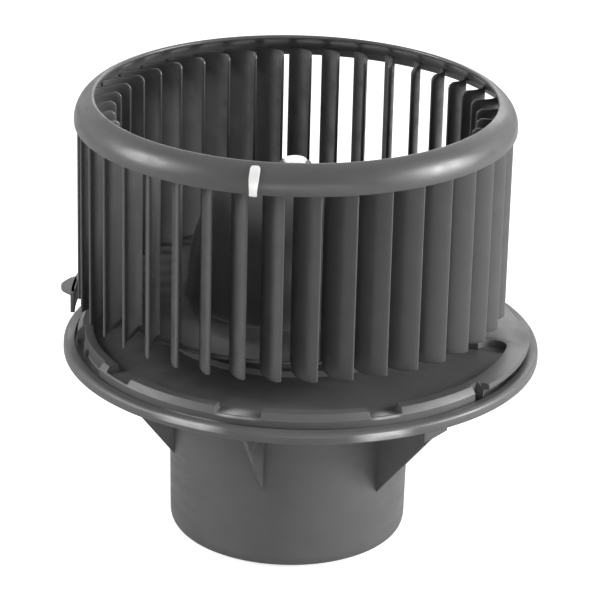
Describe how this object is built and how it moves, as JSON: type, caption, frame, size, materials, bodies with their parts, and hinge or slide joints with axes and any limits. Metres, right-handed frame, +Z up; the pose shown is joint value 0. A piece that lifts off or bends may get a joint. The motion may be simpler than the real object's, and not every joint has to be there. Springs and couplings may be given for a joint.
{
  "type": "evaporator fan",
  "caption": "Cabin evaporator fan: forward-curved blower wheel on a brushed motor in a moulded can with a round bayonet flange and triangular ribs.",
  "frame": {"origin": "centre of the can's foot, on the motor axis", "axes": "+Z up along the motor axis from the foot to the wheel's inlet; -Y towards the side that the picture shows; +X to the right"},
  "size_m": [0.1693, 0.1672, 0.1605],
  "materials": {
    "housing_plastic": "satin moulded talc-filled plastic, dark grey",
    "wheel_plastic": "satin moulded plastic, dark grey",
    "frame_plastic": "moulded glass-filled plastic, black",
    "terminal_brass": "stamped brass",
    "plated_steel": "zinc-plated pressed steel",
    "ground_steel": "ground steel",
    "bright_steel": "bright plated spring steel",
    "ferrite": "ground ferrite, dark grey",
    "bearing_bronze": "oil-filled sintered bronze",
    "carbon": "pressed carbon",
    "copper": "enamelled copper",
    "damper_rubber": "soft black rubber"
  },
  "bodies": {
    "housing": {"motor_housing": "housing_plastic", "connector_socket": "housing_plastic", "terminal_left": "terminal_brass", "terminal_right": "terminal_brass", "motor_yoke": "plated_steel", "end_frame": "frame_plastic", "magnet_front": "ferrite", "magnet_rear": "ferrite", "magnet_spring_left": "plated_steel", "magnet_spring_right": "plated_steel", "upper_bearing": "bearing_bronze", "lower_bearing": "bearing_bronze", "upper_bearing_clip": "plated_steel", "lower_bearing_clip": "plated_steel", "brush_left": "carbon", "brush_right": "carbon", "brush_spring_left": "plated_steel", "brush_spring_right": "plated_steel", "choke_left": "copper", "choke_right": "copper", "upper_damper": "damper_rubber", "lower_damper": "damper_rubber"},
    "rotor": {"blower_wheel": "wheel_plastic", "balance_clip": "bright_steel", "shaft_cap": "bright_steel", "motor_shaft": "ground_steel", "armature_core": "ground_steel", "armature_windings": "copper", "commutator": "copper", "thrust_washer": "ground_steel"}
  },
  "joints": [
    {"name": "rotor_spin", "type": "hinge", "parent": "housing", "child": "rotor", "pos_m": [0, 0, 0.1], "axis": [0, 0, 1], "continuous": true}
  ]
}
